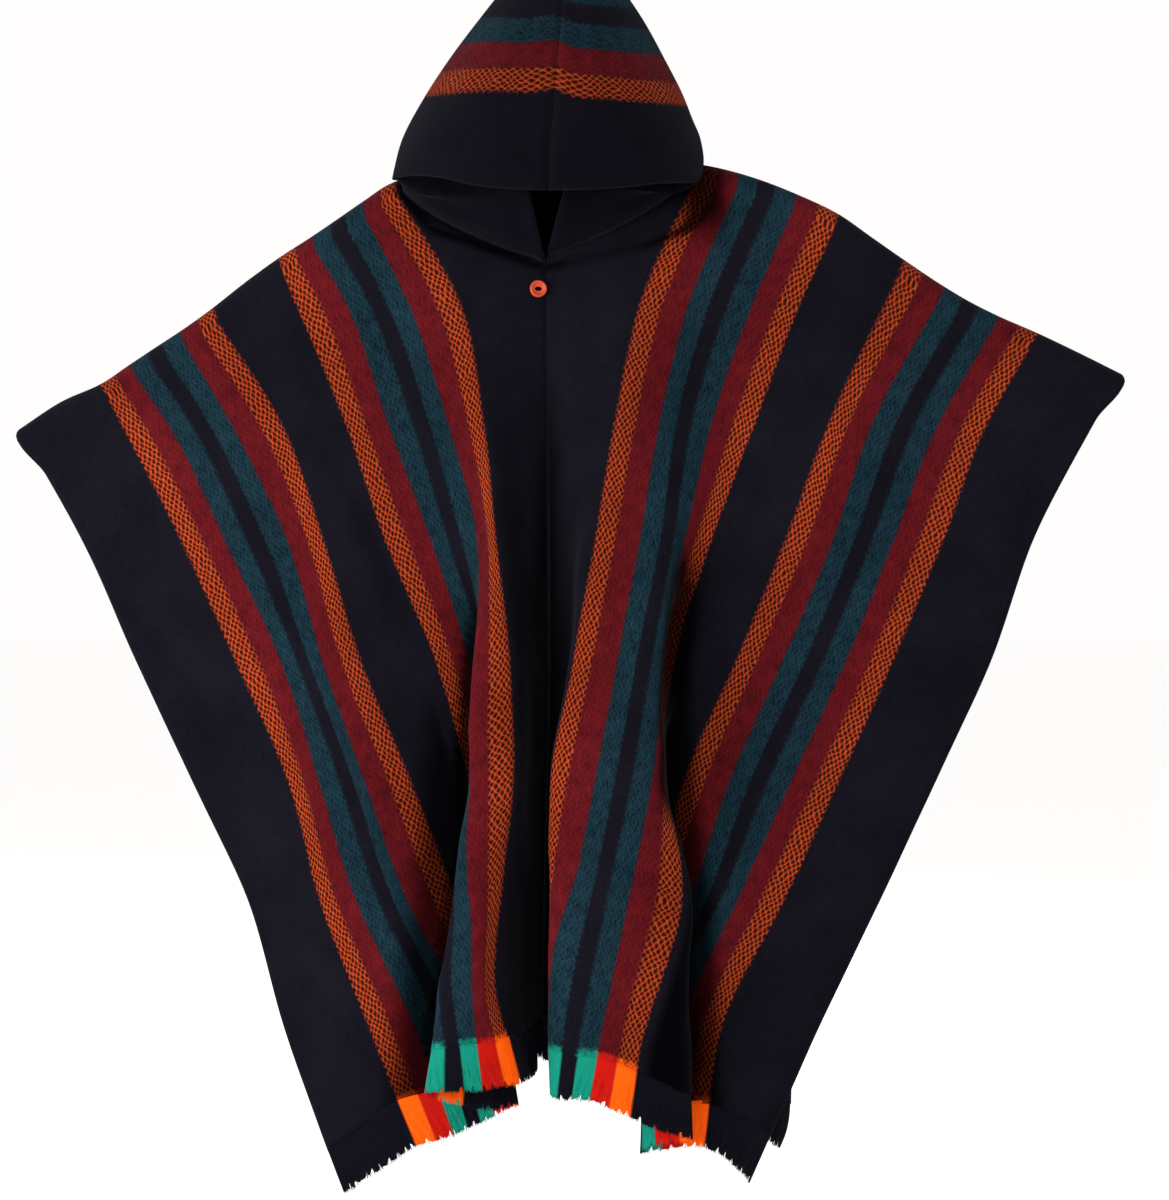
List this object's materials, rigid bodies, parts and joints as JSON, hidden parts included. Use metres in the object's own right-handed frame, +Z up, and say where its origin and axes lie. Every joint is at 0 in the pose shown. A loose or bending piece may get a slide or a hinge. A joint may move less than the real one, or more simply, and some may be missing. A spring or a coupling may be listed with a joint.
{
  "type": "hooded poncho",
  "caption": "Hooded wool poncho with banded stripes and fringed hems, hung filled out on a plain hanger inside it.",
  "frame": {"origin": "inside top of the hanger's hook, where a rail or peg carries it", "axes": "+Z up, +Y to the back of the poncho, +X to the right as seen from the front"},
  "size_m": [1.1084, 0.2025, 1.2457],
  "materials": {
    "wool": "brushed navy wool with bands of orange, red and teal",
    "hood_wool": "the same wool, its bands along the face edge",
    "warp_ends": "loose wool warp ends in teal, red, orange and navy",
    "button": "orange, worn gloss",
    "wood": "plain varnished",
    "steel": "plain wire"
  },
  "bodies": {
    "root": {"left_panel": "wool", "right_panel": "wool", "hood_left": "hood_wool", "hood_right": "hood_wool", "left_front_fringe": "warp_ends", "left_back_fringe": "warp_ends", "right_front_fringe": "warp_ends", "right_back_fringe": "warp_ends", "button": "button", "hanger_bar": "wood", "hanger_hook": "steel"}
  },
  "joints": []
}
